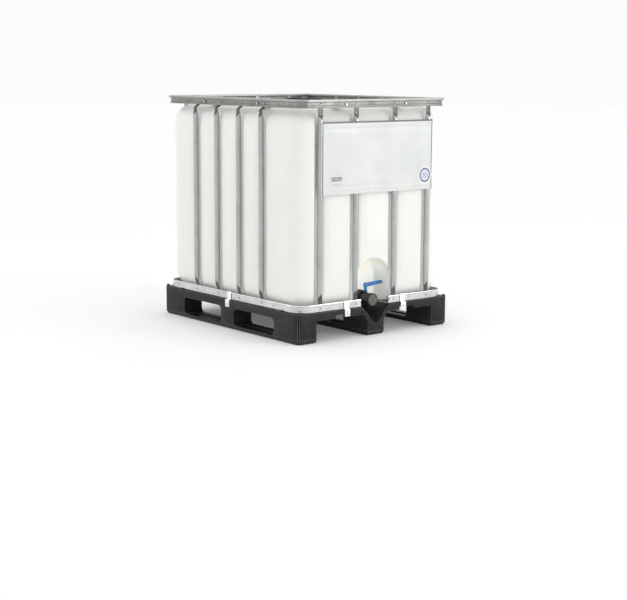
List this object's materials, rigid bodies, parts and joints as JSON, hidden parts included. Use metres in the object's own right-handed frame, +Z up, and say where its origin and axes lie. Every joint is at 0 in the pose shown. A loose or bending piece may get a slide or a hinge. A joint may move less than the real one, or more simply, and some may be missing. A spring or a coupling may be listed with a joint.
{
  "type": "intermediate bulk container",
  "caption": "Intermediate bulk container: translucent bottle in a cage of upright steel tubes on a plastic pallet, with a screw lid, a label plate and a lever-operated outlet valve.",
  "frame": {"origin": "on the floor under the middle of the pallet", "axes": "+Z up, outlet valve and label plate towards -Y, long side of the pallet along Y"},
  "size_m": [1, 1.2, 1.186],
  "materials": {
    "recycled_plastic": "mottled matt black moulding",
    "tray_steel": "hot-dip galvanised sheet",
    "clip_steel": "bright zinc",
    "tube_steel": "galvanised tube",
    "frame_steel": "dull galvanised sheet",
    "zinc_fasteners": "zinc plated",
    "dark_steel": "dark coated",
    "label_plate": "white coated sheet",
    "sticker_paper": "printed film",
    "sticker_blue": "printed film",
    "bottle_hdpe": "translucent natural white",
    "black_plastic": "black moulding",
    "blue_plastic": "satin blue moulding",
    "disc_plastic": "natural moulding",
    "cover_disc": "beige moulding",
    "seal_rubber": "black elastomer"
  },
  "bodies": {
    "container": {"pallet": "recycled_plastic", "pallet_runner_left": "recycled_plastic", "pallet_runner_centre": "recycled_plastic", "pallet_runner_right": "recycled_plastic", "runner_screws": "zinc_fasteners", "base_tray": "tray_steel", "clip_front_left": "clip_steel", "clip_front_right": "clip_steel", "clip_rear_left": "clip_steel", "clip_rear_right": "clip_steel", "clip_side_left": "clip_steel", "clip_side_right": "clip_steel", "clip_screws": "zinc_fasteners", "bar_front_1": "tube_steel", "bar_front_2": "tube_steel", "bar_front_3": "tube_steel", "bar_front_4": "tube_steel", "bar_rear_1": "tube_steel", "bar_rear_2": "tube_steel", "bar_rear_3": "tube_steel", "bar_rear_4": "tube_steel", "bar_left_1": "tube_steel", "bar_left_2": "tube_steel", "bar_left_3": "tube_steel", "bar_left_4": "tube_steel", "bar_right_1": "tube_steel", "bar_right_2": "tube_steel", "bar_right_3": "tube_steel", "bar_right_4": "tube_steel", "bar_rivets_low": "zinc_fasteners", "bar_rivets_high": "zinc_fasteners", "brace_fasteners": "zinc_fasteners", "plate_rivets": "zinc_fasteners", "stay_rivet": "zinc_fasteners", "top_frame": "frame_steel", "brace_cross_front": "frame_steel", "brace_cross_rear": "frame_steel", "brace_long_left": "frame_steel", "brace_long_right": "frame_steel", "label_plate": "label_plate", "data_sticker": "sticker_paper", "round_sticker": "sticker_blue", "bottle": "bottle_hdpe", "outlet_gasket": "seal_rubber", "seat_ring": "seal_rubber", "stem_o_rings": "seal_rubber", "outlet_nut": "black_plastic", "valve_body": "black_plastic", "valve_stay": "dark_steel"},
    "spindle": {"valve_handle": "blue_plastic", "handle_screw": "zinc_fasteners", "valve_stem": "zinc_fasteners", "valve_disc": "disc_plastic"},
    "cap_gasket": {"cap_seal": "seal_rubber"},
    "cap": {"outlet_cap": "black_plastic", "cap_cover_disc": "cover_disc"},
    "lid_gasket": {"lid_seal": "seal_rubber"},
    "lid": {"lid": "black_plastic"}
  },
  "joints": [
    {"name": "valve_turn", "type": "hinge", "parent": "container", "child": "spindle", "pos_m": [0, -0.516, 0.176], "axis": [0, 0, -1], "range_deg": [0, 90]},
    {"name": "cap_travel", "type": "slide", "parent": "container", "child": "cap_gasket", "axis": [0, -1, 0], "range_m": [0, 0.0181]},
    {"name": "cap_turn", "type": "hinge", "parent": "cap_gasket", "child": "cap", "pos_m": [0, -0.567, 0.176], "axis": [0, -1, 0], "range_deg": [0, 1080]},
    {"name": "lid_travel", "type": "slide", "parent": "container", "child": "lid_gasket", "axis": [0, 0, 1], "range_m": [0, 0.0211]},
    {"name": "lid_turn", "type": "hinge", "parent": "lid_gasket", "child": "lid", "pos_m": [0, 0, 1.17], "axis": [0, 0, 1], "range_deg": [0, 1080]}
  ],
  "couplings": [
    {"joint": "cap_travel", "follows": "cap_turn", "m_per_rad": 0.00095493},
    {"joint": "lid_travel", "follows": "lid_turn", "m_per_rad": 0.0011141}
  ]
}
